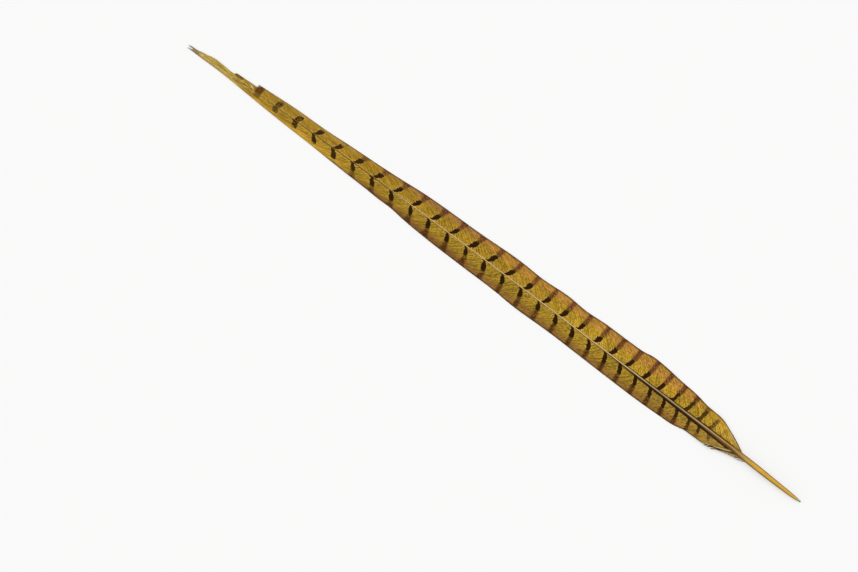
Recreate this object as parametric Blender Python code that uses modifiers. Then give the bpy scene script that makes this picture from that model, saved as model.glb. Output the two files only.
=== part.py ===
# Pheasant tail feather, lying with its outer face up on the margins of its webs.
# Metres, +Z up. +X runs from the quill's end to the tip; the origin is under the middle of its box.
import bmesh
import bpy

MM = 0.001

LENGTH = 500 * MM                 # quill end to tip
BOW = 3.4 * MM                    # how far the shaft bows sideways, toward -Y
BOW_RISE, BOW_FALL = 1.2, 0.8     # powers of the bow's curve: deepest at 0.6 of the length

SHEET = 0.55 * MM                 # thickness of the webs, barbs and barbules together
FLAT_FROM = 0.78                  # share of a web's width where it has come down to lie flat
BEDDED = 0.06 * MM                # how much of the web's underside is flattened where it rests

# Stations along the feather, as (distance from the quill's end, value), in millimetres.
SHAFT_RADIUS = [(0, 0.75), (8, 1.3), (16, 1.55), (30, 1.85), (49, 1.93), (70, 1.48), (90, 1.2),
                (123, 0.98), (158, 0.8), (210, 0.65), (300, 0.58), (494, 0.45)]
SHAFT_HEIGHT = [(0, 0.95), (8, 1.4), (16, 1.68), (30, 2.05), (50, 2.3), (130, 3.3), (250, 2.8),
                (400, 1.4), (500, 0.4)]
MARGIN_HEIGHT = [(50, 2.2), (70, 1.4), (100, 0), (500, 0)]
LEFT_WEB = [(48, 1.0), (62, 6.7), (75, 9.4), (90, 9.8), (107, 12.0), (125, 12.9), (175, 13.0),
            (250, 12.7), (300, 11.6), (350, 9.0), (400, 7.0), (450, 4.4), (475, 2.5), (500, 0.9)]
RIGHT_WEB = [(48, 1.0), (62, 8.4), (75, 12.1), (88, 12.9), (100, 14.6), (125, 16.4), (160, 14.9),
             (200, 14.1), (250, 13.2), (300, 11.8), (350, 9.2), (400, 7.2), (446, 5.7), (451, 3.1),
             (463, 3.0), (467, 1.9), (490, 1.9), (500, 1.0)]

WEB_START = 48 * MM
SHAFT_END = 494 * MM
ROWS, COLUMNS = 90, 14            # cells of the webs' sheet, along and across
SHAFT_POINTS = 56
SHAFT_ROUNDNESS = 2               # curve bevel resolution


def station_value(stations, distance):
    """Smooth curve through the stations, read at a distance from the quill's end; all in metres."""
    at = distance / MM
    last = len(stations) - 1
    span = 0
    while span < last - 1 and stations[span + 1][0] < at:
        span += 1

    def slope(i):
        before, after = stations[max(i - 1, 0)], stations[min(i + 1, last)]
        return (after[1] - before[1]) / (after[0] - before[0])

    (x0, y0), (x1, y1) = stations[span], stations[span + 1]
    width = x1 - x0
    part = min(max((at - x0) / width, 0), 1)
    rest = 1 - part
    ends = y0 * (1 + 2 * part) * rest * rest + y1 * (3 - 2 * part) * part * part
    bends = slope(span) * width * part * rest * rest - slope(span + 1) * width * rest * part * part
    low, high = min(y0, y1), max(y0, y1)
    return min(max(ends + bends, low), high) * MM


def shaft_line(distance):
    """X and Y of the shaft's middle at a distance from the quill's end."""
    share = min(max(distance / LENGTH, 0), 1)
    deepest = BOW_RISE / (BOW_RISE + BOW_FALL)
    scale = deepest ** BOW_RISE * (1 - deepest) ** BOW_FALL
    return distance - LENGTH / 2, -BOW * share ** BOW_RISE * (1 - share) ** BOW_FALL / scale


def web_point(distance, across):
    """A point of the webs' middle surface; across runs from -1, the right margin, to 1, the left."""
    x, y = shaft_line(distance)
    half_width = station_value(LEFT_WEB if across > 0 else RIGHT_WEB, distance)
    ridge = station_value(SHAFT_HEIGHT, distance)
    resting = SHEET / 2 - BEDDED
    margin = resting + station_value(MARGIN_HEIGHT, distance)
    droop = min(abs(across) / FLAT_FROM, 1)
    fall = droop * droop * (3 - 2 * droop)
    return x, y + across * half_width, ridge + (min(margin, ridge) - ridge) * fall


def principled(name, colour, roughness):
    material = bpy.data.materials.new(name)
    material.use_nodes = True
    shader = material.node_tree.nodes["Principled BSDF"]
    shader.inputs["Base Color"].default_value = (*colour, 1)
    shader.inputs["Roughness"].default_value = roughness
    shader.inputs["Metallic"].default_value = 0
    return material


def as_helper(thing):
    thing.hide_render = True
    thing.display_type = 'WIRE'


def make_webs(collection):
    """Both webs as one open sheet: a flat grid moved onto the feather's surface."""
    bm = bmesh.new()
    bmesh.ops.create_grid(bm, x_segments=ROWS, y_segments=COLUMNS, size=1)
    for vertex in bm.verts:
        along = WEB_START + (LENGTH - WEB_START) * (vertex.co.x + 1) / 2
        vertex.co = web_point(along, vertex.co.y)
    mesh = bpy.data.meshes.new("tail_feather")
    bm.to_mesh(mesh)
    bm.free()
    webs = bpy.data.objects.new("tail_feather", mesh)
    collection.objects.link(webs)
    return webs


def make_shaft(collection):
    """The quill and the shaft that it tapers into, as a solid rod."""
    curve = bpy.data.curves.new("shaft_line", 'CURVE')
    curve.dimensions = '3D'
    curve.bevel_depth = 1
    curve.bevel_resolution = SHAFT_ROUNDNESS
    curve.use_fill_caps = True
    spline = curve.splines.new('POLY')
    spline.points.add(SHAFT_POINTS - 1)
    for i, point in enumerate(spline.points):
        along = SHAFT_END * i / (SHAFT_POINTS - 1)
        point.co = (*shaft_line(along), station_value(SHAFT_HEIGHT, along), 1)
        point.radius = station_value(SHAFT_RADIUS, along)
    guide = bpy.data.objects.new("shaft_line", curve)
    collection.objects.link(guide)

    bpy.context.view_layer.update()
    mesh = bpy.data.meshes.new_from_object(guide.evaluated_get(bpy.context.evaluated_depsgraph_get()))
    bm = bmesh.new()
    bm.from_mesh(mesh)
    bmesh.ops.remove_doubles(bm, verts=bm.verts, dist=0.00001)
    bm.to_mesh(mesh)
    bm.free()
    shaft = bpy.data.objects.new("shaft", mesh)
    shaft.matrix_world = guide.matrix_world
    collection.objects.link(shaft)
    bpy.data.objects.remove(guide)
    bpy.data.curves.remove(curve)
    as_helper(shaft)
    return shaft


def make_ground(collection):
    """A block whose top is the surface that the feather lies on."""
    bm = bmesh.new()
    bmesh.ops.create_cube(bm, size=1)
    bmesh.ops.scale(bm, vec=(LENGTH * 1.2, LENGTH * 0.2, 0.01), verts=bm.verts)
    bmesh.ops.translate(bm, vec=(0, 0, -0.005), verts=bm.verts)
    mesh = bpy.data.meshes.new("ground")
    bm.to_mesh(mesh)
    bm.free()
    ground = bpy.data.objects.new("ground", mesh)
    collection.objects.link(ground)
    as_helper(ground)
    return ground


def middle_of_width():
    """Y halfway between the webs' widest points."""
    stations = [WEB_START + (LENGTH - WEB_START) * row / ROWS for row in range(ROWS + 1)]
    margins = [web_point(along, side)[1] for along in stations for side in (-1, 1)]
    return (min(margins) + max(margins)) / 2


def make_feather():
    feather_collection = bpy.data.collections.new("pheasant_tail_feather")
    cutters = bpy.data.collections.new("cutters")
    bpy.context.scene.collection.children.link(feather_collection)
    bpy.context.scene.collection.children.link(cutters)

    vane_material = principled("vane", (0.30, 0.19, 0.045), 0.6)
    quill_material = principled("quill", (0.36, 0.22, 0.08), 0.35)

    feather = make_webs(feather_collection)
    shaft = make_shaft(cutters)
    ground = make_ground(cutters)
    feather.data.materials.append(vane_material)
    feather.data.materials.append(quill_material)
    shaft.data.materials.append(quill_material)

    thicken = feather.modifiers.new("thickness", 'SOLIDIFY')
    thicken.thickness = SHEET
    thicken.offset = 0
    join = feather.modifiers.new("grown onto the shaft", 'BOOLEAN')
    join.operation = 'UNION'
    join.solver = 'EXACT'
    join.material_mode = 'TRANSFER'
    join.object = shaft
    flatten = feather.modifiers.new("flat where it rests", 'BOOLEAN')
    flatten.operation = 'DIFFERENCE'
    flatten.solver = 'EXACT'
    flatten.object = ground
    feather.data.shade_smooth()

    for piece in (feather, shaft, ground):
        piece.location.y -= middle_of_width()


for old in list(bpy.data.objects):
    bpy.data.objects.remove(old)
make_feather()
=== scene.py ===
import math

import bmesh
import bpy
import numpy as np
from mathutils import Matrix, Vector, noise


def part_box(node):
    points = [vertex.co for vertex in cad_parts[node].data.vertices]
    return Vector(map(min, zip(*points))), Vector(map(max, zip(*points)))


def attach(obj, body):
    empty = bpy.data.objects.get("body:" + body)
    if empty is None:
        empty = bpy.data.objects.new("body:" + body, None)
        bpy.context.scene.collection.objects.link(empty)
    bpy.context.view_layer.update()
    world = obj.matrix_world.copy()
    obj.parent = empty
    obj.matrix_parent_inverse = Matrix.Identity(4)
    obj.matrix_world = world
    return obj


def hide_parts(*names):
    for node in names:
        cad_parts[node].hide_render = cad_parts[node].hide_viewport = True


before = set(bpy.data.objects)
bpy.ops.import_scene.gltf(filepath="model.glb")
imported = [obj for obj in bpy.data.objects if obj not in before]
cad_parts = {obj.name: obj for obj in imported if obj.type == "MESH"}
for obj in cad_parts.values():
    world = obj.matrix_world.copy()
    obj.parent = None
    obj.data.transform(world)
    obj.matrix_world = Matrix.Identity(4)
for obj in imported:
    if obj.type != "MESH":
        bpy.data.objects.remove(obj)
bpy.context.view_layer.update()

featherLow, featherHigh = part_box("tail_feather")
mm = 0.001

# Along the feather all measures are from the quill's end, and across it from the shaft's middle.
feather = {
    "length": (featherHigh.x - featherLow.x) / mm,
    "quillEnd": featherLow.x,
    "shaftLine": featherLow.y + 18.4 * mm,   # the straight line from the quill's end to the tip
    "table": featherLow.z,
    "bow": 3.4,                              # the shaft bows this far toward -Y
    "bowRise": 1.2,
    "bowFall": 0.8,
    "quillBend": 0.45,                       # and the bare quill turns this far back toward +Y
    "quillBendOver": (10, 52),
    "height": [(0, 0.95), (8, 1.4), (16, 1.68), (30, 2.05), (50, 2.3), (130, 3.2), (250, 2.7), (400, 1.35),
               (500, 0.35)],
}


def through(stations, at):                   # a smooth curve through (place, value) pairs
    places, values = np.array(stations, float).T
    slopes = np.gradient(values, places)
    at = np.clip(at, places[0], places[-1])
    span = np.clip(np.searchsorted(places, at) - 1, 0, len(places) - 2)
    width = places[span + 1] - places[span]
    part = (at - places[span]) / width
    rest = 1 - part
    ends = values[span] * (1 + 2 * part) * rest * rest + values[span + 1] * (3 - 2 * part) * part * part
    return ends + width * part * rest * (slopes[span] * rest - slopes[span + 1] * part)


def eased(low, high, value):                 # 0 below low, 1 above high, smooth between
    part = np.clip((np.asarray(value, float) - low) / (high - low), 0, 1)
    return part * part * (3 - 2 * part)


def shaftBow(along):                         # how far the shaft's middle is off its line, in mm
    share = np.clip(np.asarray(along, float) / feather["length"], 0, 1)
    rise, fall = feather["bowRise"], feather["bowFall"]
    deepest = rise / (rise + fall)
    scale = deepest ** rise * (1 - deepest) ** fall
    bend = feather["quillBend"] * (1 - eased(*feather["quillBendOver"], along))
    return bend - feather["bow"] * share ** rise * (1 - share) ** fall / scale


def placed(along, across, height):           # feather measures in mm to a point in metres
    return Vector((feather["quillEnd"] + float(along) * mm,
                   feather["shaftLine"] + (float(shaftBow(along)) + float(across)) * mm,
                   feather["table"] + float(height) * mm))


def rippled(along, across, length, seed):    # gentle noise from -1 to 1
    return noise.noise(Vector((along / length, across / length, seed)))


class Wire:                                  # a node's output that can be used in sums
    def __init__(self, tree, socket):
        self.tree, self.socket = tree, socket

    def sum(self, operation, *values):
        node = self.tree.nodes.new("ShaderNodeMath")
        node.operation = operation
        for socket, value in zip(node.inputs, values):
            plug(self.tree, socket, value)
        return Wire(self.tree, node.outputs[0])

    def __add__(self, other):
        return self.sum("ADD", self, other)

    def __radd__(self, other):
        return self.sum("ADD", other, self)

    def __sub__(self, other):
        return self.sum("SUBTRACT", self, other)

    def __rsub__(self, other):
        return self.sum("SUBTRACT", other, self)

    def __mul__(self, other):
        return self.sum("MULTIPLY", self, other)

    def __rmul__(self, other):
        return self.sum("MULTIPLY", other, self)

    def __abs__(self):
        return self.sum("ABSOLUTE", self)

    def exp(self):
        return self.sum("EXPONENT", self)

    def fading(self, over):                  # 1 at 0, and about a third of that at each further step of over
        return (self * (-1 / over)).exp()

    def log(self):
        return self.sum("LOGARITHM", self, math.e)

    def rounded(self):
        return self.sum("ROUND", self)

    def sign(self):
        return self.sum("SIGN", self)

    def atLeast(self, other):
        return self.sum("MAXIMUM", self, other)

    def atMost(self, other):
        return self.sum("MINIMUM", self, other)

    def eased(self, low, high):              # 0 below low, 1 above high, smooth between
        node = self.tree.nodes.new("ShaderNodeMapRange")
        node.interpolation_type = "SMOOTHSTEP"
        for name, value in (("Value", self), ("From Min", low), ("From Max", high)):
            plug(self.tree, node.inputs[name], value)
        return Wire(self.tree, node.outputs["Result"])


def plug(tree, socket, value):
    if isinstance(value, Wire):
        tree.links.new(value.socket, socket)
    else:
        socket.default_value = value


class Maker:                                 # makes nodes in one tree
    def __init__(self, tree):
        self.tree = tree

    def node(self, kind, settings=None, values=None):
        made = self.tree.nodes.new(kind)
        for name, setting in (settings or {}).items():
            setattr(made, name, setting)
        usable = {socket.name: socket for socket in reversed(made.inputs) if socket.enabled}
        for name, value in (values or {}).items():
            plug(self.tree, usable[name] if isinstance(name, str) else made.inputs[name], value)
        return made

    def out(self, kind, settings=None, values=None, name=None):
        made = self.node(kind, settings, values)
        shown = [socket for socket in made.outputs if socket.enabled]
        return Wire(self.tree, made.outputs[name] if name else shown[0])


def paint(code):                             # a colour written as red, green and blue in hex
    parts = [int(code[i:i + 2], 16) / 255 for i in (0, 2, 4)]
    return tuple(p / 12.92 if p <= 0.04045 else ((p + 0.055) / 1.055) ** 2.4 for p in parts) + (1,)


class Finish(Maker):                         # one Principled material
    def __init__(self, name):
        self.material = bpy.data.materials.new(name)
        self.material.use_nodes = True
        super().__init__(self.material.node_tree)
        self.surface = self.tree.nodes["Principled BSDF"]

    def read(self, name):
        return self.out("ShaderNodeAttribute", {"attribute_name": name}, name="Fac")

    def grain(self, x, y, seed, detail=2.0):   # noise about 0, one lump to a unit of x or y
        place = self.out("ShaderNodeCombineXYZ", values={"X": x, "Y": y, "Z": seed})
        return self.out("ShaderNodeTexNoise", values={"Vector": place, "Scale": 1.0, "Detail": detail}) - 0.5

    def mixed(self, share, first, second, blend="MIX"):
        node = self.node("ShaderNodeMix", {"data_type": "RGBA", "blend_type": blend, "clamp_factor": True})
        for socket, value in (("Factor", share), (6, first), (7, second)):     # 6 and 7 are its colours
            plug(self.tree, node.inputs[socket], value)
        return Wire(self.tree, node.outputs[2])

    def give(self, name, value):
        plug(self.tree, self.surface.inputs[name], value)


# The shaft: bare quill, then the rachis that carries the webs, flat-topped with a groove below.
shaft = {
    "bareTo": 49.0,
    "halfWidth": [(0, 0.50), (1, 0.62), (2, 0.80), (3, 0.93), (5, 1.10), (8, 1.30), (16, 1.55), (30, 1.85),
                  (40, 1.95), (49, 1.91)],
    "endWidth": 0.36, "widening": 1.55, "tapering": 66.0,      # past the quill it narrows by this rule
    "tipFrom": 380.0, "tipAt": 493.0, "tipWidth": 0.10,
    "webbedOver": (46, 75),                                    # round quill to flat-topped, grooved shaft
    "flatness": 0.22, "groove": 0.42, "grooveWidth": 0.34,
    "halfDepth": [(0, 0.45), (1, 0.58), (3, 0.86), (8, 1.2), (16, 1.5), (30, 1.78), (49, 1.85), (70, 1.45),
                  (90, 1.25), (123, 1.12), (158, 1.0), (207, 0.78), (300, 0.55), (400, 0.34), (493, 0.12)],
    "sunk": 0.35,                                              # share of its half depth below the webs
    "lowest": 0.03,                                            # over the table
    "pit": [(2.2, 0.10), (1.9, 0.34), (0.5, 0.44), (0.06, 0.58)],   # the opening at the quill's end
    "slant": 0.3, "slantOver": (0, 6), "start": 0.15,          # the quill's end is cut a little askew
    "ring": 28, "rings": 230, "ringsFrom": 5.0,
    "endRings": [0.25, 0.7, 1.3, 2.2, 3.4],
    "bakeRows": 12, "bakeGap": 0.06,                           # its strips on the bake's map
}


def shaftHalfWidth(along):
    along = np.asarray(along, float)
    bare = through(shaft["halfWidth"], along)
    thin = shaft["endWidth"] + shaft["widening"] * np.exp(-(along - shaft["bareTo"]) / shaft["tapering"])
    thin = thin + (shaft["tipWidth"] - thin) * eased(shaft["tipFrom"], shaft["tipAt"], along)
    return np.where(along < shaft["bareTo"], bare, thin)


def shaftRing(along, shrink=1.0):            # one ring of (across, height, turn) around the shaft
    halfWidth = float(shaftHalfWidth(along)) * shrink
    halfDepth = float(through(shaft["halfDepth"], along)) * shrink
    webbed = float(eased(*shaft["webbedOver"], along))
    middle = float(through(feather["height"], along)) - shaft["sunk"] * webbed * halfDepth
    roundness = 1 - shaft["flatness"] * webbed
    points = []
    for i in range(shaft["ring"]):
        turn = 2 * math.pi * i / shaft["ring"]
        c, s = math.cos(turn), math.sin(turn)
        across = halfWidth * math.copysign(abs(c) ** roundness, c)
        up = halfDepth * math.copysign(abs(s) ** roundness, s)
        if s < 0:
            up *= 1 - shaft["groove"] * webbed * math.exp(-(c / shaft["grooveWidth"]) ** 2)
        points.append((across, max(middle + up, shaft["lowest"]), c, s))
    return points


def shaftPiece():
    bm = bmesh.new()
    layers = {name: bm.verts.layers.float.new(name) for name in ("along", "left", "up")}
    uvMap = bm.loops.layers.uv.new("OFBake")
    even = np.linspace(shaft["ringsFrom"], shaft["tipAt"], shaft["rings"])
    plan = shaft["pit"] + [(float(place), 1.0) for place in np.concatenate([shaft["endRings"], even])]
    rings = []
    for place, shrink in plan:
        ring = []
        for across, height, c, s in shaftRing(place if shrink == 1.0 else 0.0, shrink):
            slant = shaft["slant"] * across * (1 - float(eased(*shaft["slantOver"], place)))
            vertex = bm.verts.new(placed(place + slant + shaft["start"], across, height))
            vertex[layers["along"]] = place
            vertex[layers["left"]] = c
            vertex[layers["up"]] = s
            ring.append(vertex)
        rings.append(ring)
    count, rows, gap = shaft["ring"], shaft["bakeRows"], shaft["bakeGap"]
    perRow = math.ceil(len(rings) / rows)
    for j in range(len(rings) - 1):
        row, column = divmod(j, perRow)
        for i in range(count):
            k = (i + 1) % count
            face = bm.faces.new((rings[j][i], rings[j][k], rings[j + 1][k], rings[j + 1][i]))
            for loop, (x, y) in zip(face.loops, ((0, i), (0, i + 1), (1, i + 1), (1, i))):
                loop[uvMap].uv = ((column + x) / perRow, (row + gap + (1 - 2 * gap) * y / count) / (rows + 1))
    for ring, spot in ((rings[0], 0.02), (rings[-1], 0.06)):    # the two end caps lie in the row left over
        face = bm.faces.new(ring)
        for loop in face.loops:
            vertex = loop.vert
            loop[uvMap].uv = (spot + 0.01 * vertex[layers["left"]], 0.965 + 0.01 * vertex[layers["up"]])
    bmesh.ops.recalc_face_normals(bm, faces=bm.faces)
    for face in bm.faces:
        face.smooth = True
    mesh = bpy.data.meshes.new("quillAndShaft")
    bm.to_mesh(mesh)
    bm.free()
    piece = bpy.data.objects.new("quillAndShaft", mesh)
    bpy.context.scene.collection.objects.link(piece)
    return piece


# The surface that the webs follow, wider than the webs, mapped by place along and across.
guide = {
    "from": 40.0, "to": 512.0, "inner": -1.0, "outer": 19.0, "columns": 236, "rows": 40,
    "narrowest": 8.0, "downAt": 0.8,            # it reaches the table at this share of a web's width
    "margin": 0.2, "baseMargin": 1.3, "baseOver": (60, 100),   # the margin's height, and more at the base
    "ripples": [(0.5, 21.0, 1.6), (0.25, 9.0, 1.0)],           # each one's height, length and squeeze across
    "loose": 0.12, "looseFrom": 0.25, "tipCalm": 0.6, "tipOver": (380, 480),
}

# Both webs. "worn" is the edge at which longer barbs are broken off, "splits" are the small gaps between
# barbs with their widths, and "wisps" are groups of loose barbs, from each group's first barb to its last.
rightWeb = {
    "name": "rightWeb", "side": -1, "seed": 11, "first": 49.5, "strands": (6.0, 5.6),
    "outline": [(50, 2.2), (58, 5.6), (66, 9.2), (70, 10.8), (73, 11.6), (87, 12.6), (95, 13.9), (112, 15.1),
                (125, 16.3), (135, 16.3), (141, 15.2), (150, 14.8), (172, 14.5), (189, 13.5), (201, 14.2),
                (224, 13.0), (240, 13.5), (275, 12.2), (300, 11.8), (320, 11.1), (332, 10.1), (350, 8.9),
                (375, 7.8), (395, 6.8), (420, 6.55), (446, 5.4), (470, 4.6), (486, 3.0), (500, 1.0)],
    "worn": [(40, 20), (447.7, 20), (448.0, 3.4), (464.6, 3.1), (465.2, 2.0), (468.5, 1.8), (472, 2.3),
             (477, 2.95), (480, 3.05), (484, 2.6), (487, 2.0), (490, 1.7), (494, 0.95), (500, 1.05)],
    "sweep": [(49, 22), (60, 19.5), (75, 17), (125, 20), (250, 24), (350, 26), (430, 27), (470, 22),
              (492, 8)],
    "splits": [(139, 0.16), (187, 0.14), (322, 0.12), (404, 0.12)],
    "parting": (451.0, 446.9, 0.33),            # where the barbs stand apart, the root there, and how far
    "wisps": [
        {"count": 3, "root": (49, 53), "sweep": (14, 20), "reach": (8.3, 12.2), "bend": (0.0, -0.2),
         "width": 0.10, "lift": 0.4, "dark": 0.6},
        {"count": 10, "root": (485, 491), "sweep": (14.6, 8.6), "reach": (0.25, 0.85), "bend": (0.3, 0.3),
         "width": 1.6, "lift": 0.05, "dark": 0.0, "fan": 0.09},
        {"count": 8, "root": (482, 489), "sweep": (15.0, 8.0), "reach": (0.0, 0.7), "bend": (0.3, 0.3),
         "width": 1.6, "lift": 0.05, "dark": 0.0, "fan": 0.09},
    ],
}
leftWeb = {
    "name": "leftWeb", "side": 1, "seed": 23, "first": 46.5, "strands": (6.2, 16.0),
    "outline": [(47, 1.9), (56, 3.9), (62, 5.3), (68, 7.0), (73, 8.8), (82, 9.4), (90, 9.7), (98, 11.5),
                (107, 12.1), (125, 12.85), (150, 12.95), (200, 12.65), (230, 13.2), (242, 12.6), (272, 12.4),
                (300, 11.9), (320, 10.8), (332, 9.6), (341, 9.6), (352, 9.1), (375, 8.3), (400, 7.1),
                (425, 6.0), (448, 4.45), (465, 3.1), (480, 2.25), (490, 2.0), (495, 1.65), (500, 1.5)],
    "worn": [(40, 20), (500, 20)],
    "sweep": [(46, 26), (60, 20), (75, 17), (125, 19), (250, 23), (350, 26), (430, 27), (470, 22),
              (492, 8)],
    "splits": [(93, 0.20), (229, 0.12), (318, 0.14), (372, 0.12)],
    "wisps": [
        {"count": 3, "root": (48.0, 54.5), "sweep": (21.5, 19.0), "reach": (9.6, 9.8), "bend": (-0.35, -0.3),
         "width": 0.50, "lift": 0.5, "dark": 0.9},
        {"count": 10, "root": (44.5, 51), "sweep": (5, 9), "reach": (3.9, 5.6), "bend": (0.1, -0.2),
         "width": 0.24, "lift": 0.5, "dark": -0.6},
        {"count": 5, "root": (47, 53), "sweep": (13, 18), "reach": (6.4, 10.6), "bend": (-0.1, -0.3),
         "width": 0.06, "lift": 0.6, "dark": -0.6},
        {"count": 5, "root": (70, 84), "sweep": (16, 16), "reach": (10.0, 12.2), "bend": (-0.1, -0.3),
         "width": 0.07, "lift": 0.4, "dark": 0.8},
        {"count": 11, "root": (484, 491), "sweep": (15.8, 8.8), "reach": (0.95, 1.5), "bend": (0.3, 0.3),
         "width": 1.6, "lift": 0.05, "dark": 0.0, "fan": 0.09},
        {"count": 11, "root": (481, 489), "sweep": (16.0, 8.0), "reach": (0.0, 1.1), "bend": (0.3, 0.3),
         "width": 1.6, "lift": 0.05, "dark": 0.0, "fan": 0.09},
    ],
}
barbs = {
    "last": 492.0, "pitch": 0.40,               # along the shaft
    "end": 500.0,                               # no barb reaches further than this
    "rootAt": 0.7, "looseRootAt": 0.8,          # shares of the shaft's half width
    "wander": 0.7, "wanderLength": 7.0,
    "bend": 0.10, "moreBend": 0.40, "bendOver": (52, 78),
    "overlap": 1.25,                            # width as a share of the pitch
    "wider": 0.9, "widerOver": (484, 490),      # the last barbs are coarser, and uneven in reach
    "tipRagged": (-0.4, 0.05), "raggedOver": (485, 489),
    "splitFades": 3.5,
    "frayed": 0.010, "moreFrayed": 0.03, "frayedOver": (440, 490),
    "broken": 0.03, "brokenFrom": 0.985,        # a few barbs have lost this share of their length
    "looseScatter": {"root": 0.3, "sweep": 0.6, "reach": 0.2, "bend": 0.04},
    "looseDark": (0.7, 1.0), "looseWhole": (0.92, 1.0),
    "segments": 14, "sides": 4,
    "ridge": 0.10,                              # half thickness at the root
    "thinning": 0.55, "narrowing": 0.35, "narrowFrom": 0.97,
    "tilt": 0.035,                              # each barb's tipward edge lies over the next
    "uneven": 0.03,
    "partingSharpness": 0.62, "partingFades": 4.0,
}


def webHeight(web, along, across):           # the web comes down from the shaft and lies on the table
    halfWidth = max(float(through(web["outline"], along)), guide["narrowest"])
    ridge = float(through(feather["height"], along))
    margin = min(guide["margin"] + guide["baseMargin"] * (1 - float(eased(*guide["baseOver"], along))), ridge)
    share = max(across, 0.0) / halfWidth
    ripple = sum(height * rippled(along, across * squeeze, length, web["seed"])
                 for height, length, squeeze in guide["ripples"])
    calm = 1 - guide["tipCalm"] * float(eased(*guide["tipOver"], along))
    lifted = max(float(eased(guide["looseFrom"], 1.0, share)) * calm * (ripple + guide["loose"]), 0.0)
    return ridge + (margin - ridge) * float(eased(0.0, guide["downAt"], share)) + lifted


def guideSurface(web):
    bm = bmesh.new()
    bmesh.ops.create_grid(bm, x_segments=guide["columns"], y_segments=guide["rows"], size=1)
    spread = {vertex: ((vertex.co.x + 1) / 2, (vertex.co.y + 1) / 2) for vertex in bm.verts}
    uvMap = bm.loops.layers.uv.new("web")
    for face in bm.faces:
        for loop in face.loops:
            loop[uvMap].uv = spread[loop.vert]
    for vertex, (x, y) in spread.items():
        along = guide["from"] + (guide["to"] - guide["from"]) * x
        across = guide["inner"] + (guide["outer"] - guide["inner"]) * y
        vertex.co = placed(along, across * web["side"], webHeight(web, along, across))
    if web["side"] < 0:
        bmesh.ops.reverse_faces(bm, faces=bm.faces)
    mesh = bpy.data.meshes.new(web["name"] + "Guide")
    bm.to_mesh(mesh)
    bm.free()
    surface = bpy.data.objects.new(web["name"] + "Guide", mesh)
    bpy.context.scene.collection.objects.link(surface)
    return surface


def barbPath(root, sweep, base, reach, bend, share):   # a barb leaves the shaft and curves toward the tip
    outward = share * (1 + bend - bend * share)
    forward = share * (1 - bend + bend * share)
    return root + sweep * forward, base + (reach - base) * outward


def barbRoots(web):                          # one point for each barb, with what sets its path
    chance = np.random.default_rng(web["seed"])
    root = np.arange(web["first"], barbs["last"], barbs["pitch"])
    count = len(root)
    past = root - web["first"]
    wander = np.array([rippled(place, 0, barbs["wanderLength"], web["seed"] + 3) for place in root])
    end = np.minimum(root + through(web["sweep"], root) + barbs["wander"] * wander, barbs["end"])
    period, last = web["strands"]            # the first barbs show as dark and pale strands
    coarse = 1 + barbs["wider"] * eased(*barbs["widerOver"], root)
    values = {
        "root": root,
        "sweep": end - root,
        "base": barbs["rootAt"] * shaftHalfWidth(root),
        "reach": through(web["outline"], end),
        "bend": barbs["bend"] + barbs["moreBend"] * eased(*barbs["bendOver"], root),
        "width": barbs["pitch"] * barbs["overlap"] / 2 * coarse,
        "lift": np.zeros(count),
        "dark": np.cos(2 * math.pi * past / period) * (1 - eased(0.6 * last, last, past)),
    }
    values["moreSweep"] = np.gradient(values["sweep"], root)      # so that a barb's sides meet its neighbours
    values["moreReach"] = np.gradient(values["reach"], root)
    ragged = chance.uniform(*barbs["tipRagged"], count) * eased(*barbs["raggedOver"], root)
    values["reach"] = values["reach"] + ragged
    for place, gap in web["splits"]:
        beyond = end - place
        fades = np.exp(-np.maximum(beyond, 0) / barbs["splitFades"])
        values["sweep"] = values["sweep"] + np.where(beyond > 0, gap * fades, 0)
    share = np.linspace(0, 1, 161)           # places on each barb where the worn edge is looked for
    names = ("root", "sweep", "base", "reach", "bend")
    along, across = barbPath(*(values[name][:, None] for name in names), share[None, :])
    places, limits = np.array(web["worn"], float).T
    worn = across > np.interp(along, places, limits)
    whole = np.where(worn.any(1), share[worn.argmax(1)], 1.0)
    frayed = barbs["frayed"] + barbs["moreFrayed"] * eased(*barbs["frayedOver"], root)
    lost = frayed * chance.random(count)
    values["whole"] = whole * (1 - lost - barbs["broken"] * (chance.random(count) > barbs["brokenFrom"]))

    for wisps in web["wisps"]:               # loose barbs at the web's base and in the prongs of its tip
        count = wisps["count"]

        def spread(name):
            scatter = barbs["looseScatter"][name]
            return np.linspace(*wisps[name], count) + chance.uniform(-scatter, scatter, count)

        root = spread("root")
        extra = {
            "root": root, "sweep": spread("sweep"), "base": barbs["looseRootAt"] * shaftHalfWidth(root),
            "reach": spread("reach"), "bend": spread("bend"), "width": np.full(count, wisps["width"]),
            "lift": chance.uniform(0, wisps["lift"], count),
            "dark": wisps["dark"] * chance.uniform(*barbs["looseDark"], count),
            "whole": chance.uniform(*barbs["looseWhole"], count), "moreSweep": np.zeros(count),
            "moreReach": np.full(count, wisps.get("fan", 0.0)),
        }
        values = {name: np.concatenate([values[name], extra[name]]) for name in values}
    values["number"] = np.arange(len(values["root"]), dtype=float)
    return values


def rootPoints(web):
    values = barbRoots(web)
    spots = [placed(root, 0, float(through(feather["height"], root))) for root in values["root"]]
    mesh = bpy.data.meshes.new(web["name"] + "Roots")
    mesh.from_pydata(spots, [], [])
    for name, numbers in values.items():
        mesh.attributes.new(name, "FLOAT", "POINT").data.foreach_set("value", numbers.astype(np.float32))
    piece = bpy.data.objects.new(web["name"], mesh)
    bpy.context.scene.collection.objects.link(piece)
    return piece


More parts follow.
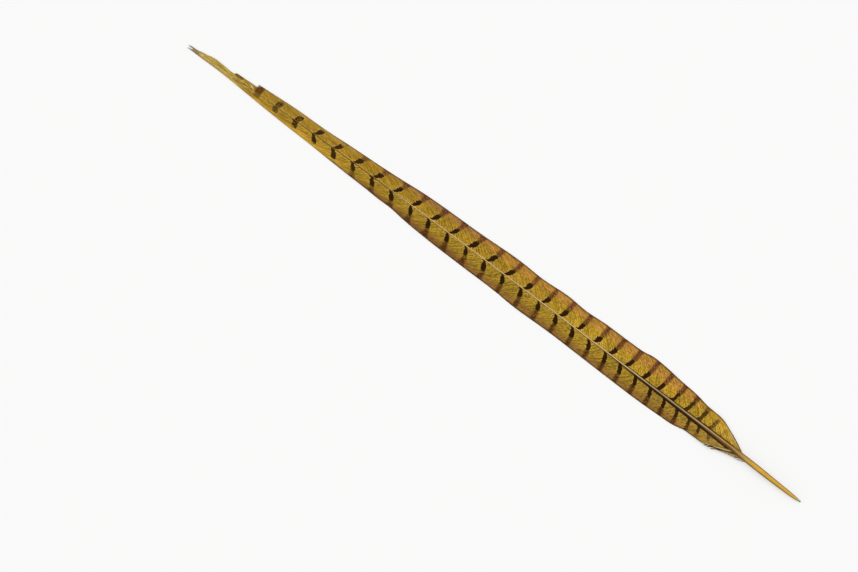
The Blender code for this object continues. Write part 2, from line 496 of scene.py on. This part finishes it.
def barbTree():                              # bends one barb along each root's path on the surface
    tree = bpy.data.node_groups.new("barbs along a shaft", "GeometryNodeTree")
    tree.is_modifier = True
    for name, kind in (("Geometry", "Geometry"), ("Surface", "Object"), ("Segments", "Int"),
                       ("Ridge", "Float"), ("Tilt", "Float"), ("Parting place", "Float"),
                       ("Parting root", "Float"), ("Parting width", "Float"), ("Seed", "Int"),
                       ("Material", "Material")):
        tree.interface.new_socket(name, in_out="INPUT", socket_type="NodeSocket" + kind)
    tree.interface.new_socket("Geometry", in_out="OUTPUT", socket_type="NodeSocketGeometry")
    make = Maker(tree)
    inputs = make.node("NodeGroupInput").outputs
    given = {socket.name: Wire(tree, socket) for socket in inputs if socket.name}

    def read(name, kind="FLOAT"):
        settings = {"data_type": kind}
        return make.out("GeometryNodeInputNamedAttribute", settings, {"Name": name}, "Attribute")

    def keep(geometry, name, value):
        return make.out("GeometryNodeStoreNamedAttribute", {"data_type": "FLOAT", "domain": "POINT"},
                        {"Geometry": geometry, "Name": name, "Value": value})

    line = make.out("GeometryNodeCurvePrimitiveLine", values={"Start": (0, 0, 0), "End": (1, 0, 0)})
    line = make.out("GeometryNodeResampleCurve", {"mode": "COUNT"},
                    {"Curve": line, "Count": given["Segments"] + 1})
    section = make.out("GeometryNodeCurvePrimitiveCircle",
                       values={"Resolution": barbs["sides"], "Radius": 1.0})
    barb = make.out("GeometryNodeCurveToMesh",
                    values={"Curve": line, "Profile Curve": section, "Fill Caps": True})
    spot = make.node("ShaderNodeSeparateXYZ", values={"Vector": make.out("GeometryNodeInputPosition")})
    for name, axis in (("share", "X"), ("flank", "Y"), ("crown", "Z")):
        barb = keep(barb, name, Wire(tree, spot.outputs[axis]))

    chance = make.out("FunctionNodeRandomValue", {"data_type": "FLOAT"},
                      {"Min": 0.0, "Max": 1.0, "Seed": given["Seed"]})
    roots = keep(given["Geometry"], "chance", chance)
    placedBarbs = make.out("GeometryNodeInstanceOnPoints", values={"Points": roots, "Instance": barb})
    web = make.out("GeometryNodeRealizeInstances", values={"Geometry": placedBarbs})

    share, flank, root = read("share"), read("flank"), read("root")
    aside = flank * read("width") * (1 - barbs["narrowing"] * share.eased(barbs["narrowFrom"], 1.0))
    sweep = read("sweep") + aside * read("moreSweep")
    reach = read("reach") + aside * read("moreReach")
    part = share * read("whole")
    along, across = barbPath(root + aside, sweep, read("base"), reach, read("bend"), part)
    near = (along - given["Parting place"]) * barbs["partingSharpness"]
    apart = (near * near).fading(1) * abs(root - given["Parting root"]).fading(barbs["partingFades"])
    across = across + given["Parting width"] * apart * (given["Parting root"] - root).sign()

    x = (along - guide["from"]) * (1 / (guide["to"] - guide["from"]))
    y = (across - guide["inner"]) * (1 / (guide["outer"] - guide["inner"]))
    spotOnMap = make.out("ShaderNodeCombineXYZ", values={"X": x, "Y": y})
    surface = make.out("GeometryNodeObjectInfo", {"transform_space": "ORIGINAL"},
                       {"Object": given["Surface"]}, "Geometry")

    def sampled(value):
        return make.out("GeometryNodeSampleUVSurface", {"data_type": "FLOAT_VECTOR"}, {
            "Mesh": surface, "Value": value, "UV Map": read("web", "FLOAT_VECTOR"), "Sample UV": spotOnMap})

    onSurface = sampled(make.out("GeometryNodeInputPosition"))
    upward = sampled(make.out("GeometryNodeInputNormal", name="Normal"))
    thinning = 1 - barbs["thinning"] * share
    rise = (read("crown") * given["Ridge"] * thinning + flank * given["Tilt"] + read("lift") * share * share
            + (read("chance") - 0.5) * barbs["uneven"] * share)
    raised = make.out("ShaderNodeVectorMath", {"operation": "SCALE"}, {0: upward, "Scale": rise * mm})
    final = make.out("ShaderNodeVectorMath", {"operation": "ADD"}, {0: onSurface, 1: raised})
    web = keep(keep(web, "along", along), "across", across)
    web = make.out("GeometryNodeSetPosition", values={"Geometry": web, "Position": final})
    web = make.out("GeometryNodeSetShadeSmooth", values={"Geometry": web, "Shade Smooth": True})
    web = make.out("GeometryNodeSetMaterial", values={"Geometry": web, "Material": given["Material"]})
    make.node("NodeGroupOutput", values={"Geometry": web})
    return tree


def webPiece(web, tree, material):
    surface = guideSurface(web)
    piece = rootPoints(web)
    grow = piece.modifiers.new("barbs", "NODES")
    grow.node_group = tree
    place, root, width = web.get("parting", (0.0, 0.0, 0.0))
    wanted = {"Surface": surface, "Segments": barbs["segments"], "Ridge": barbs["ridge"],
              "Tilt": barbs["tilt"], "Parting place": place, "Parting root": root, "Parting width": width,
              "Seed": web["seed"], "Material": material}
    for socket in tree.interface.items_tree:
        if socket.in_out == "INPUT" and socket.name in wanted:
            grow[socket.identifier] = wanted[socket.name]
    bpy.context.view_layer.update()
    mesh = bpy.data.meshes.new_from_object(piece.evaluated_get(bpy.context.evaluated_depsgraph_get()))
    piece.modifiers.remove(grow)
    roots, piece.data = piece.data, mesh
    mesh.name = web["name"]
    bpy.data.meshes.remove(roots)
    bpy.data.objects.remove(surface)
    pointOutwards(mesh)
    layOut(mesh, web)
    return piece


def pointOutwards(mesh):
    bm = bmesh.new()
    bm.from_mesh(mesh)
    bmesh.ops.recalc_face_normals(bm, faces=bm.faces)
    bm.to_mesh(mesh)
    bm.free()


# A barb's column on the bake's map, in shares of a column's width and a row's height.
bakeMap = {"rows": 4, "halfWidth": 0.44, "start": 0.04, "length": 0.90, "crown": 0.012, "under": -0.01}


def layOut(mesh, web):                       # each barb's upper and lower face gets a column of its own
    def values(name):
        found = np.empty(len(mesh.vertices), np.float32)
        mesh.attributes[name].data.foreach_get("value", found)
        return found

    edge = values("across") / np.maximum(through(web["outline"], values("along")), 0.5)
    mesh.attributes.new("edge", "FLOAT", "POINT").data.foreach_set("value", edge.astype(np.float32))

    corners = np.empty(len(mesh.loops), np.int32)
    mesh.loops.foreach_get("vertex_index", corners)
    starts = np.empty(len(mesh.polygons), np.int32)
    mesh.polygons.foreach_get("loop_start", starts)
    sizes = np.empty(len(mesh.polygons), np.int32)
    mesh.polygons.foreach_get("loop_total", sizes)
    crown = values("crown")[corners]
    under = np.repeat(np.add.reduceat(crown, starts) < bakeMap["under"], sizes)
    number = values("number")[corners]
    rows = bakeMap["rows"]                   # for the upper faces, and as many for the lower ones
    perRow = math.ceil((number.max() + 1) / rows)
    row = np.floor(number / perRow) + rows * under
    up = row + bakeMap["start"] + bakeMap["length"] * values("share")[corners] + bakeMap["crown"] * crown
    x = (number % perRow + 0.5 + bakeMap["halfWidth"] * values("flank")[corners]) / perRow
    y = up / (2 * rows)
    flat = np.stack([x, y], 1).astype(np.float32).ravel()
    mesh.uv_layers.new(name="OFBake").data.foreach_set("uv", flat)
    for name in ("sweep", "moreSweep", "base", "reach", "moreReach", "bend", "width", "lift", "whole",
                 "number", "flank"):
        mesh.attributes.remove(mesh.attributes[name])


# Bars, spaced evenly toward the tip and closer together at the base. Distances in mm.
bars = {"spacing": 16.0, "tightening": 6.8, "over": 85.0, "first": 76.0}


def barSpacing(place):
    return bars["spacing"] - bars["tightening"] * (place - bars["first"]).fading(bars["over"])


def barNumber(place):                        # whole numbers fall on the bars' middles
    closest = bars["spacing"] - bars["tightening"]
    stretched = bars["over"] * (barSpacing(place) * (1 / closest)).log()
    return (place - bars["first"] + stretched) * (1 / bars["spacing"])


# One look for each web. A list such as "drift" starts with a value in mm, and each (amount, from, to) after
# it is added between those two places along the feather.
rightLook = {
    "seed": 3.0, "lag": (0.0, 0.0),
    "drift": [0.0, (0.7, 134, 140), (-0.8, 158, 166), (-0.4, 172, 210), (-0.6, 272, 300), (-0.8, 318, 336),
              (0.8, 352, 385), (0.4, 400, 412)],
    "lean": [0.55, (-0.1, 140, 170), (0.28, 226, 244), (0.1, 310, 340), (-0.3, 402, 412)],
    "blackTo": [9.5, (-2.0, 98, 108), (-0.9, 110, 118), (-0.6, 143, 155), (0.5, 240, 256), (-0.5, 276, 290),
                (-0.9, 322, 350), (-0.4, 400, 420)],
    "marginFrom": [6.6, (-0.6, 200, 300), (1.4, 330, 390), (6.0, 375, 400)],
    "marginDeep": 3.5, "shadowTo": (0.10, 0.75), "darkTo": (63, 69), "paleFrom": (54, 61),
    "fuzz": paint("e2cf9a"),
    "base": paint("c8a03c"),
    "ground": [(66, 82, "b6902a"), (118, 140, "bc962e"), (198, 216, "ae882a"), (446, 474, "c8b05a")],
    "margin": paint("c08c3e"), "marginLate": paint("ac7d45"), "rim": paint("5c3a10"),
    "outside": paint("c09846"), "beside": paint("ceb478"),
    "black": paint("321800"), "maroon": paint("643420"), "shadow": paint("33200a"), "under": paint("a58a58"),
    "halo": paint("cfae5c"), "stain": paint("5e3614"), "end": paint("866a46"),
    "stains": [(445.6, 2.6, -1.0, 7.0, 0.85), (461.6, 3.2, 1.2, 4.0, 0.75)],   # place, reach, sides, strength
}
leftLook = {
    "seed": 8.0, "lag": (0.8, 3.4),
    "drift": [2.0, (-1.7, 80, 92), (0.6, 112, 145), (-0.8, 149, 160), (-0.5, 186, 202), (-0.25, 280, 292),
              (-1.1, 305, 321), (0.4, 401, 415)],
    "lean": [0.8, (-0.2, 176, 212), (0.35, 312, 340), (-0.45, 402, 412)],
    "blackTo": [5.9, (0.9, 84, 98), (0.2, 140, 160), (-0.8, 176, 200), (-0.9, 318, 337), (-0.8, 388, 412),
                (-1.2, 418, 430)],
    "marginFrom": [6.0, (-0.4, 200, 300), (-1.0, 300, 350), (6.0, 370, 400)],
    "marginDeep": 4.6, "shadowTo": (0.5, 1.15), "darkTo": (73, 78), "paleFrom": (46, 58),
    "fuzz": paint("e0cc98"),
    "base": paint("a8863e"),
    "ground": [(66, 82, "a88434"), (118, 140, "aa882c"), (340, 380, "b89230"), (446, 474, "dac470")],
    "margin": paint("986e34"), "marginLate": paint("895c2f"), "rim": paint("4e330c"),
    "outside": paint("cca23e"), "beside": paint("cbad76"),
    "black": paint("311a00"), "maroon": paint("4c260a"), "shadow": paint("2e1c08"), "under": paint("a08555"),
    "halo": paint("bfa050"), "stain": paint("644216"), "end": paint("866a46"),
    "stains": [(445.2, 2.4, -1.0, 2.6, 0.6), (461.6, 2.8, 0.75, 1.6, 0.45)],
}


# What both webs share. Each noise, from streak to patch, has so many lumps to a mm along and across. Other
# pairs are where a change along the feather starts and ends, in mm, except as noted.
vane = {
    "streak": (1.3, 0.10), "fleck": (1.5, 0.85), "fibre": (5.0, 0.35), "clump": (0.40, 0.14),
    "rough": (0.75, 0.85), "patch": (0.06, 0.12),
    "lagFrom": 90.0, "lagOver": 130.0,
    "curl": 6.0, "curlOver": 6.0, "curlEven": 3.08,              # the bars' curve toward the tip
    "hookOver": 0.8, "hookFrom": (130, 190), "hookShare": [1.0, (-0.4, 300, 320)], "hookTo": (404, 414),
    "footSharpness": 1.5, "foot": [1.9, (-1.5, 120, 170)],
    "blunt": (402, 412), "bluntHalf": 0.6, "bluntLess": 0.35,    # the last bars before the tip
    "half": 1.05, "away": (0.3, 3.2), "halfAway": [0.30, (0.42, 125, 165)],      # away is mm from the shaft
    "late": (315, 360), "halfLate": 0.2,
    "topNarrow": [0.3, (0.25, 125, 165)],
    "barsFrom": (60, 82), "barsTo": (438, 442), "strong": [0.89, (0.11, 80, 115)],
    "faintFrom": (325, 380), "faintMost": (415, 426), "halo": 0.35,
    "redBeyond": (190, 260), "redSpread": (0.9, 2.6),            # redSpread is mm from a bar's middle
    "redFrom": (72, 90), "redTo": (366, 388),
    "redShare": [1.0, (-0.25, 318, 345)], "mottled": [0.87, (-0.09, 150, 175)],
    "redEdge": (0.68, 0.98), "outsideEdge": (0.45, 0.8), "rimEdge": (0.90, 0.97),   # shares of a web's width
    "redEdgeFrom": (225, 300), "outsideFrom": (350, 385), "rimTo": (378, 395),
    "tanFrom": (76, 98), "tanLate": (250, 292),                  # the margins' tan
    "besideFrom": (118, 150), "shadeFrom": (50, 62), "shadeTo": (125, 172),
    "cool": (0.93, 1.01, 0.78, 1), "warm": (1.03, 0.995, 1.04, 1),               # tints of the mottling
    "coarse": (440, 465), "unevenMost": 0.45, "endFrom": (489.5, 493),
    "underSeen": (0.05, 0.4),                                    # how far down a barb's side turns duller
    "roughness": 0.56, "roughest": 0.8, "specular": 0.06, "bump": 0.25, "bumpDepth": 0.05 * mm,
}


def stepped(place, steps):                   # a value that changes along the feather in smooth steps
    value = place * 0.0 + steps[0]
    for amount, start, stop in steps[1:]:
        value = value + place.eased(start, stop) * amount
    return value


def vaneFinish(name, look):
    f = Finish(name)
    along, across, edge, root = f.read("along"), f.read("across"), f.read("edge"), f.read("root")
    chance, crown = f.read("chance"), f.read("crown")

    def lumps(kind, place, order, detail=2.0):
        lengthwise, sideways = vane[kind]
        return f.grain(place * lengthwise, across * sideways, look["seed"] + order, detail)

    def reached(kind):                       # 0 before the pair of places of this name, 1 after it
        return along.eased(*vane[kind])

    streak = lumps("streak", root, 0)        # long streaks that follow the barbs
    fleck = lumps("fleck", root, 1)
    fibre = lumps("fibre", root, 2, 1.0)
    clump = lumps("clump", root, 3)
    rough = lumps("rough", along, 4)
    patch = lumps("patch", along, 5)

    # The bars lean toward the tip near the shaft, and their feet spread into the dark line beside it. A noise
    # times a number shifts an edge by up to about half that many mm.
    steady, early = look["lag"]
    lag = steady + early * (along - vane["lagFrom"]).fading(vane["lagOver"]) + stepped(along, look["drift"])
    shaftEdge = shaft["endWidth"] + shaft["widening"] * (along - shaft["bareTo"]).fading(shaft["tapering"])
    beside = across - shaftEdge
    hook = beside.fading(vane["hookOver"]).atMost(1.0) * reached("hookFrom")
    hook = hook * stepped(along, vane["hookShare"]) * (1 - reached("hookTo"))
    curl = across.fading(vane["curlOver"]) * vane["curl"] - vane["curlEven"]
    lean = curl * stepped(along, look["lean"]) + hook
    number = barNumber(along - lag - lean + clump * 1.4 + streak * 0.8)
    offset = (number - number.rounded()) * barSpacing(along)
    own = f.grain(number.rounded() * 3.7, 0.0, look["seed"] + 6, 0.0)   # sets each bar apart from the others
    top = across - stepped(along, look["blackTo"]) - own * 2.4 + rough * 2.2 + streak * 1.4
    foot = (beside * -vane["footSharpness"]).exp().atMost(1.0) * stepped(along, vane["foot"])
    blunt, away = reached("blunt"), across.eased(*vane["away"])
    half = vane["half"] + away * stepped(along, vane["halfAway"]) + vane["halfLate"] * reached("late")
    half = half + blunt * (vane["bluntHalf"] - vane["bluntLess"] * away)
    half = half * (1.0 + own * 0.4) - top.eased(-1.4, 0.3) * stepped(along, vane["topNarrow"])
    beyond = abs(offset - foot * 0.5) - foot * 0.5 - half + rough * 1.7 + fleck * 0.6
    strength = reached("barsFrom") * stepped(along, vane["strong"]) * (1 - reached("barsTo"))
    faint = 0.05 * reached("faintFrom") + 0.06 * blunt + 0.10 * reached("faintMost")
    strength = strength * (1 - faint - blunt * (fleck + rough) * 1.2)
    black = (1 - beyond.eased(-0.25, 0.30)) * (1 - top.eased(-0.5, 0.6)) * strength
    halo = (1 - beyond.eased(0.2, 1.3)) * (1 - top.eased(0.0, 1.5)) * strength * vane["halo"]

    # Past the black each bar goes on to the margin in a mottled red-brown.
    spread = abs(offset + 0.5 * reached("redBeyond")) + rough * 2.6 + fleck * 1.8
    spread = spread - edge.eased(*vane["redEdge"]) * reached("redEdgeFrom") * 1.4
    outer = top.eased(-1.2, 0.6) * stepped(along, vane["redShare"]) * (1 - reached("redTo"))
    mottled = stepped(along, vane["mottled"]) + rough * 2.2 + fleck * 2.2
    maroon = (1 - spread.eased(*vane["redSpread"])) * outer * reached("redFrom") * mottled

    # The ground's colours, from the shaft outwards, and its darker rim.
    ground = look["base"]
    for start, stop, colour in look["ground"]:
        ground = f.mixed(along.eased(start, stop), ground, paint(colour))
    margin = across - stepped(along, look["marginFrom"]) + clump * 4.0 + fleck * 4.0 + streak * 3.0
    marginTone = f.mixed(reached("tanLate"), look["margin"], look["marginLate"])
    ground = f.mixed(margin.eased(0.0, look["marginDeep"]) * reached("tanFrom"), ground, marginTone)
    outside = edge.eased(*vane["outsideEdge"]) * reached("outsideFrom") * 0.8
    ground = f.mixed(outside, ground, look["outside"])
    pale = (1 - beside.eased(0.1, 1.2)) * reached("besideFrom") * 0.22
    ground = f.mixed(pale, ground, look["beside"])
    rim = (edge + fleck * 0.12).eased(*vane["rimEdge"]) * (1 - 0.7 * reached("rimTo")) * 0.85
    ground = f.mixed(rim, ground, look["rim"])
    warmth = f.mixed((fleck + streak) * 2.2 + 0.5, vane["cool"], vane["warm"])
    ground = f.mixed(1.0, ground, warmth, "MULTIPLY")

    # Halos, the shadow beside the shaft and the red-brown go on before the barbs' unevenness, black after it.
    shadow = (1 - beside.eased(*look["shadowTo"])) * (1 - reached("shadeTo")) * reached("shadeFrom")
    ground = f.mixed(halo, ground, look["halo"])
    ground = f.mixed(shadow, ground, look["shadow"])
    ground = f.mixed(maroon, ground, look["maroon"])
    uneven = streak * 2.6 + fleck * 3.8 + fibre * 1.6 + (chance - 0.5) * 0.46
    uneven = uneven * (1 + 1.2 * reached("coarse"))
    tone = 1.0 + uneven.atMost(vane["unevenMost"]).atLeast(-vane["unevenMost"]) + patch * 0.3
    ground = f.mixed(1.0, ground, tone, "MULTIPLY")
    for at, reach, innerSide, outerSide, share in look["stains"]:
        stain = (1 - (abs(along - at) + rough * 2.4 + fleck).eased(reach - 0.9, reach + 0.7)) * share
        stain = stain * (across + rough * 1.2).eased(innerSide - 0.3, innerSide + 0.3)
        stain = stain * (1 - across.eased(outerSide - 0.3, outerSide + 0.3)) * (1 + fleck * 1.5)
        ground = f.mixed(stain, ground, look["stain"])
    ground = f.mixed(reached("endFrom") * 0.8, ground, look["end"])
    ground = f.mixed(black, ground, look["black"])

    # The loose strands at the base, dark or pale, and the duller lower face.
    loose = f.read("dark") * (1 - along.eased(*look["darkTo"]))
    ground = f.mixed(loose * 0.85, ground, look["shadow"])
    ground = f.mixed(loose * -0.85 * along.eased(*look["paleFrom"]), ground, look["fuzz"])
    beneath = f.mixed(0.55, ground, look["under"])
    ground = f.mixed((crown * -1.0).eased(*vane["underSeen"]), ground, beneath)
    f.give("Base Color", ground)
    f.give("Roughness", (vane["roughness"] + streak * 0.25 - black * 0.08).atMost(vane["roughest"]))
    f.give("Specular IOR Level", vane["specular"])
    raised = {"Height": fibre + streak * 0.6, "Strength": vane["bump"], "Distance": vane["bumpDepth"]}
    f.give("Normal", f.out("ShaderNodeBump", values=raised))
    return f.material


# The quill and shaft. Pairs of places in mm are where a change along the feather starts and ends.
shaftLook = {
    # goldSideShade darkens the bare quill's round flanks: its own gold with painted shade.
    "gold": paint("ca9c2e"), "goldSideShade": paint("6c4e0e"), "end": paint("a09a62"), "openingShade": paint("26231a"),
    # pale is a painted highlight along the shaft's top; straw, toward the tip, is the shaft's own colour.
    "buff": paint("a5813e"), "pale": paint("a3906a"), "straw": paint("dcc07c"), "brown": paint("6e4c16"),
    # The shaft's sides are its own dark brown, deepened by painted shade.
    "side": paint("573a0a"), "shadedSideDark": paint("2a1a06"), "sideLight": paint("84621e"),
    "dark": paint("4a300c"), "besideDark": paint("aa8630"), "beneath": paint("c4ac74"),
    "buffFrom": (36, 52), "paleFrom": (56, 92), "strawFrom": (112, 172), "darkFrom": (315, 350),
    "webbedFrom": (44, 60), "sideDarkFrom": (64, 86), "sideLightFrom": (140, 200), "wideFrom": (100, 140),
    "endTo": (2.2, 4.6), "openingShadeTo": (0.5, 1.3),
    "roughness": 0.42, "specular": 0.22, "bump": 0.2, "bumpDepth": 0.05 * mm,
}


def keratinFinish():
    f = Finish("keratin")
    along, left, up = f.read("along"), f.read("left"), f.read("up")
    look = shaftLook

    def reached(kind):
        return along.eased(*look[kind])

    line = f.grain(left * 3.0, along * 0.03, 1.0)
    mottle = f.grain(along * 0.25, left * 1.5, 4.0)
    speck = f.grain(along * 1.1, left * 2.0, 6.0)
    late, webbed = reached("darkFrom"), reached("webbedFrom")
    top = f.mixed(reached("buffFrom"), look["gold"], look["buff"])
    top = f.mixed(reached("paleFrom"), top, look["pale"])
    top = f.mixed(reached("strawFrom"), top, look["straw"])
    top = f.mixed(late, top, look["dark"])
    deep = left.eased(0.10, 0.45).atLeast((left * -1.0).eased(0.70, 0.92))
    # The shaft's dark sides are its own brown with painted shade.
    side = f.mixed(reached("sideDarkFrom"), look["side"], look["shadedSideDark"])
    # On the bare quill the darker sides are partly painted shade.
    sides = f.mixed(webbed, look["goldSideShade"], f.mixed(deep, look["brown"], side))
    sides = f.mixed(reached("sideLightFrom"), sides, look["sideLight"])
    sides = f.mixed(late, sides, f.mixed(left.eased(-0.5, 0.0), look["besideDark"], look["dark"]))

    # The pale top, partly painted highlight, is wide on the bare quill and a narrow line between the webs.
    off = abs(left + 0.27 * webbed - 0.37 * late + mottle * 0.15)
    bare = (off + line * 0.3).eased(0.40, 0.88)
    wider = reached("wideFrom")
    narrow = (off + line * 0.5 + speck * 0.3).eased(0.12 + 0.12 * wider, 0.36 + 0.14 * wider)
    colour = f.mixed(bare + (narrow - bare) * webbed, top, sides)
    colour = f.mixed((up * -1.0).eased(-0.1, 0.5), colour, look["beneath"])
    colour = f.mixed(1 - (along + mottle * 2.0).eased(*look["endTo"]), colour, look["end"])
    # Painted shade inside the quill's open end.
    colour = f.mixed(1 - (along + up * 0.2).eased(*look["openingShadeTo"]), colour, look["openingShade"])
    colour = f.mixed(1.0, colour, 1.0 + line * 0.5 + mottle * 0.65 + speck * 0.75, "MULTIPLY")
    f.give("Base Color", colour)
    f.give("Roughness", look["roughness"] + line * 0.2 + 0.1 * along.eased(40, 80))
    f.give("Specular IOR Level", look["specular"])
    raised = {"Height": line, "Strength": look["bump"], "Distance": look["bumpDepth"]}
    f.give("Normal", f.out("ShaderNodeBump", values=raised))
    return f.material


stage = {
    "floor": 12.0, "floorColour": (0.50, 0.50, 0.497, 1), "floorGlow": 0.40, "floorRoughness": 0.9,
    "skyStrength": 0.80, "sunStrength": 1.12, "sunFrom": (-0.75, -0.85, 1.5), "sunWidth": 50.0,
}


def makeStage():
    bm = bmesh.new()
    bmesh.ops.create_grid(bm, x_segments=2, y_segments=2, size=stage["floor"] / 2)
    mesh = bpy.data.meshes.new("floor")
    bm.to_mesh(mesh)
    bm.free()
    floor = bpy.data.objects.new("floor", mesh)
    floor.location.z = feather["table"]
    bpy.context.scene.collection.objects.link(floor)
    f = Finish("paleTable")
    f.give("Base Color", stage["floorColour"])
    f.give("Roughness", stage["floorRoughness"])
    f.give("Emission Color", (1, 1, 1, 1))
    f.give("Emission Strength", stage["floorGlow"])
    mesh.materials.append(f.material)

    world = bpy.data.worlds.new("studio")
    world.use_nodes = True
    sky = world.node_tree.nodes["Background"]
    sky.inputs["Color"].default_value = (1, 1, 1, 1)
    sky.inputs["Strength"].default_value = stage["skyStrength"]
    bpy.context.scene.world = world
    lamp = bpy.data.lights.new("softbox", "SUN")
    lamp.energy = stage["sunStrength"]
    lamp.angle = math.radians(stage["sunWidth"])
    light = bpy.data.objects.new("softbox", lamp)
    light.rotation_euler = (-Vector(stage["sunFrom"])).to_track_quat("-Z", "Y").to_euler()
    bpy.context.scene.collection.objects.link(light)


# The view is this wide on the table, and its middle lies this far right of and above the feather's.
camera = {"turn": -143.35, "height": 1.2, "across": 0.5627, "right": -0.0432, "up": -0.0080, "sensor": 36.0}


def makeCamera():                            # straight above, turned so the quill points to the lower right
    lens = bpy.data.cameras.new("camera")
    lens.sensor_width = camera["sensor"]
    lens.lens = camera["sensor"] * camera["height"] / camera["across"]
    turn = math.radians(camera["turn"])
    right = Vector((math.cos(turn), math.sin(turn), 0))
    up = Vector((-math.sin(turn), math.cos(turn), 0))
    middle = Vector(((featherLow.x + featherHigh.x) / 2, feather["shaftLine"], feather["table"]))
    view = bpy.data.objects.new("camera", lens)
    view.location = middle + right * camera["right"] + up * camera["up"] + Vector((0, 0, camera["height"]))
    view.rotation_euler = (0, 0, turn)
    bpy.context.scene.collection.objects.link(view)
    bpy.context.scene.camera = view


makeCamera()
makeStage()
bpy.context.scene.view_settings.view_transform = "Standard"
print("stage ready")

quill = shaftPiece()
quill.data.materials.append(keratinFinish())
print("shaft grown:", len(quill.data.polygons), "faces")

tree = barbTree()
right = webPiece(rightWeb, tree, vaneFinish("rightVane", rightLook))
left = webPiece(leftWeb, tree, vaneFinish("leftVane", leftLook))
print("webs grown:", len(right.data.polygons), "and", len(left.data.polygons), "faces")

for piece, slot in ((quill, "quill"), (right, "vane"), (left, "vane")):
    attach(piece, "root")
    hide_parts("tail_feather")

print("pieces ride on root")
